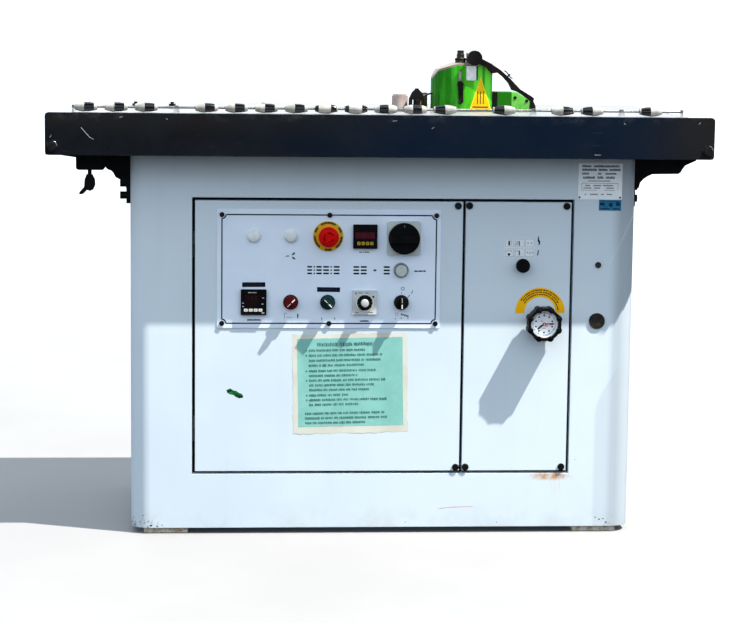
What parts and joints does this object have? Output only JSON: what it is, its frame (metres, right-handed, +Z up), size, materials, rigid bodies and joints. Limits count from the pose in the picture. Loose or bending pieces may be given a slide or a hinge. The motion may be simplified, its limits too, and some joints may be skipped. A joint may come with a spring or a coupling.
{
  "type": "edge banding machine",
  "caption": "Contour edge bander: steel cabinet with an electrical door and speed handwheel, work table with a front roller rail and a hot-melt glue unit.",
  "frame": {"origin": "on the floor, under the centre of the table", "axes": "+Z up, +X to the operator's right along the table, -Y towards the operator"},
  "size_m": [1.302, 0.612, 0.97],
  "materials": {
    "cabinet_paint": "semi-gloss powder coat",
    "foot_steel": "dull, slightly rusty",
    "seal_rubber": "matte",
    "hinge_steel": "satin",
    "frame_paint": "satin",
    "table_laminate": "satin laminate",
    "fascia_dark": "satin",
    "bracket_black": "satin",
    "bolt_black": "blackened",
    "lever_black": "satin",
    "rod_steel": "satin",
    "roller_plastic": "satin",
    "plate_white": "satin overlay",
    "screw_steel": "blackened",
    "device_black": "satin",
    "switch_grey": "satin",
    "knob_black": "satin",
    "stop_yellow": "satin",
    "stop_red": "gloss",
    "timer_grey": "satin",
    "lamp_white": "gloss",
    "bezel_metal": "polished",
    "button_pale": "gloss",
    "selector_teal": "satin",
    "plug_dark": "satin",
    "dial_white": "satin",
    "needle_red": "satin",
    "needle_black": "satin",
    "spindle_steel": "turned",
    "motor_paint": "semi-gloss",
    "bearing_steel": "oiled",
    "electrical": "matte",
    "pot_aluminium": "cast",
    "unit_green": "gloss",
    "lid_tan": "dull",
    "handle_black": "satin",
    "feed_rubber": "matte",
    "glue_roller_brass": "dull",
    "blade_steel": "ground"
  },
  "bodies": {
    "machine_frame": {"cabinet_shell": "cabinet_paint", "cabinet_floor": "cabinet_paint", "cabinet_back_panel": "cabinet_paint", "service_panel": "cabinet_paint", "foot_plates": "foot_steel", "door_seal": "seal_rubber", "door_hinges": "hinge_steel", "table_frame": "frame_paint", "table_top": "table_laminate", "front_fascia": "fascia_dark", "table_bracket_left": "bracket_black", "table_bracket_right": "bracket_black", "coil_arm_socket": "bracket_black", "frame_bolts": "bolt_black", "roller_rail": "rod_steel", "service_panel_screws": "screw_steel", "panel_plugs": "plug_dark", "drive_motor": "motor_paint", "speed_variator": "motor_paint", "shaft_bearings": "bearing_steel", "drive_chain": "bearing_steel", "electrical_panel": "electrical", "glue_pot": "pot_aluminium", "glue_cover": "unit_green", "trim_housing": "unit_green", "glue_lid": "lid_tan", "tape_guide": "handle_black"},
    "electrical_door": {"door_panel": "cabinet_paint", "control_plate": "plate_white", "door_screws": "screw_steel", "main_switch_base": "switch_grey", "emergency_stop_base": "stop_yellow", "counter_display": "device_black", "temperature_controller": "device_black", "timer_base": "timer_grey", "signal_lamps": "lamp_white", "operator_bezels": "bezel_metal"},
    "main_switch_knob": {"main_switch_knob": "knob_black"},
    "emergency_stop": {"emergency_stop_head": "stop_red"},
    "timer_knob": {"timer_knob": "timer_grey"},
    "push_button": {"push_button": "button_pale"},
    "selector_red": {"selector_red": "stop_red"},
    "selector_green": {"selector_green": "selector_teal"},
    "selector_black": {"selector_black": "device_black"},
    "handwheel": {"handwheel": "knob_black", "control_spindle": "spindle_steel"},
    "gravity_dial": {"gravity_dial": "dial_white"},
    "red_needle": {"pointer_red": "needle_red"},
    "black_needle": {"pointer_black": "needle_black"},
    "push_pull_knob": {"push_pull_knob": "knob_black"},
    "clamp_lever": {"clamp_lever": "lever_black"},
    "glue_roller": {"glue_roller": "glue_roller_brass"},
    "feed_roller": {"feed_roller": "feed_rubber"},
    "drive_shaft": {"drive_shaft": "spindle_steel"},
    "pressure_arm": {"pressure_arm": "handle_black"},
    "glue_lever": {"glue_lever": "handle_black"},
    "guard_arm": {"guard_arm": "handle_black"},
    "trim_blade": {"trim_blade": "blade_steel"},
    "rollers_left": {"table_rollers_left": "roller_plastic"},
    "rollers_right": {"table_rollers_right": "roller_plastic"}
  },
  "joints": [
    {"name": "door_hinge", "type": "hinge", "parent": "machine_frame", "child": "electrical_door", "pos_m": [-0.3675, -0.215, 0.4], "axis": [0, 0, -1], "range_deg": [0, 100]},
    {"name": "main_switch_turn", "type": "hinge", "parent": "electrical_door", "child": "main_switch_knob", "pos_m": [0.049, -0.2185, 0.5995], "axis": [0, 1, 0], "range_deg": [0, 90]},
    {"name": "emergency_stop_press", "type": "slide", "parent": "electrical_door", "child": "emergency_stop", "axis": [0, 1, 0], "range_m": [0, 0.006], "stiffness_N_per_m": 600},
    {"name": "timer_turn", "type": "hinge", "parent": "electrical_door", "child": "timer_knob", "pos_m": [-0.0278, -0.2185, 0.4705], "axis": [0, 1, 0], "range_deg": [-135, 135]},
    {"name": "push_button_press", "type": "slide", "parent": "electrical_door", "child": "push_button", "axis": [0, 1, 0], "range_m": [0, 0.003], "stiffness_N_per_m": 400},
    {"name": "selector_red_turn", "type": "hinge", "parent": "electrical_door", "child": "selector_red", "pos_m": [-0.175, -0.2185, 0.4705], "axis": [0, 1, 0], "range_deg": [-45, 45]},
    {"name": "selector_green_turn", "type": "hinge", "parent": "electrical_door", "child": "selector_green", "pos_m": [-0.1014, -0.2185, 0.4705], "axis": [0, 1, 0], "range_deg": [-45, 45]},
    {"name": "selector_black_turn", "type": "hinge", "parent": "electrical_door", "child": "selector_black", "pos_m": [0.0458, -0.2185, 0.4705], "axis": [0, 1, 0], "range_deg": [-45, 45]},
    {"name": "handwheel_turn", "type": "hinge", "parent": "machine_frame", "child": "handwheel", "pos_m": [0.33, -0.217, 0.4313], "axis": [0, 1, 0], "range_deg": [-720, 720]},
    {"name": "dial_swing", "type": "hinge", "parent": "handwheel", "child": "gravity_dial", "pos_m": [0.33, -0.217, 0.4313], "axis": [0, 1, 0], "range_deg": [-720, 720]},
    {"name": "red_needle_turn", "type": "hinge", "parent": "gravity_dial", "child": "red_needle", "pos_m": [0.33, -0.217, 0.4313], "axis": [0, 1, 0], "range_deg": [-720, 720]},
    {"name": "black_needle_turn", "type": "hinge", "parent": "gravity_dial", "child": "black_needle", "pos_m": [0.33, -0.217, 0.4313], "axis": [0, 1, 0], "range_deg": [-72, 72]},
    {"name": "push_pull_slide", "type": "slide", "parent": "machine_frame", "child": "push_pull_knob", "axis": [0, -1, 0], "range_m": [0, 0.01]},
    {"name": "clamp_lever_turn", "type": "hinge", "parent": "machine_frame", "child": "clamp_lever", "pos_m": [-0.574, -0.16, 0.72], "axis": [0, 0, 1], "range_deg": [-60, 150]},
    {"name": "drive_shaft_turn", "type": "hinge", "parent": "machine_frame", "child": "drive_shaft", "pos_m": [0.33, -0.097, 0.6], "axis": [0, 0, 1], "continuous": true},
    {"name": "feed_roller_turn", "type": "hinge", "parent": "machine_frame", "child": "feed_roller", "pos_m": [0.0475, -0.097, 0.8], "axis": [0, 0, 1], "continuous": true},
    {"name": "glue_roller_turn", "type": "hinge", "parent": "machine_frame", "child": "glue_roller", "pos_m": [0.1, -0.03, 0.8], "axis": [0, 0, 1], "continuous": true},
    {"name": "pressure_arm_turn", "type": "hinge", "parent": "machine_frame", "child": "pressure_arm", "pos_m": [0.08, -0.118, 0.86], "axis": [0, 0, 1], "range_deg": [-15, 15]},
    {"name": "glue_lever_slide", "type": "slide", "parent": "machine_frame", "child": "glue_lever", "axis": [0, 0, 1], "range_m": [0, 0.016]},
    {"name": "guard_arm_lift", "type": "hinge", "parent": "machine_frame", "child": "guard_arm", "pos_m": [0.196, -0.106, 0.955], "axis": [0, -1, 0], "range_deg": [0, 75]},
    {"name": "trim_blade_stroke", "type": "slide", "parent": "machine_frame", "child": "trim_blade", "axis": [0, 1, 0], "range_m": [0, 0.015]},
    {"name": "rollers_left_turn", "type": "hinge", "parent": "machine_frame", "child": "rollers_left", "pos_m": [0, -0.27, 0.8561], "axis": [1, 0, 0], "continuous": true},
    {"name": "rollers_right_turn", "type": "hinge", "parent": "machine_frame", "child": "rollers_right", "pos_m": [0, -0.27, 0.8561], "axis": [1, 0, 0], "continuous": true}
  ],
  "couplings": [
    {"joint": "dial_swing", "follows": "handwheel_turn", "ratio": -1},
    {"joint": "red_needle_turn", "follows": "handwheel_turn", "ratio": 1},
    {"joint": "black_needle_turn", "follows": "handwheel_turn", "ratio": 0.1},
    {"joint": "feed_roller_turn", "follows": "drive_shaft_turn", "ratio": 1},
    {"joint": "glue_roller_turn", "follows": "drive_shaft_turn", "ratio": 1}
  ]
}
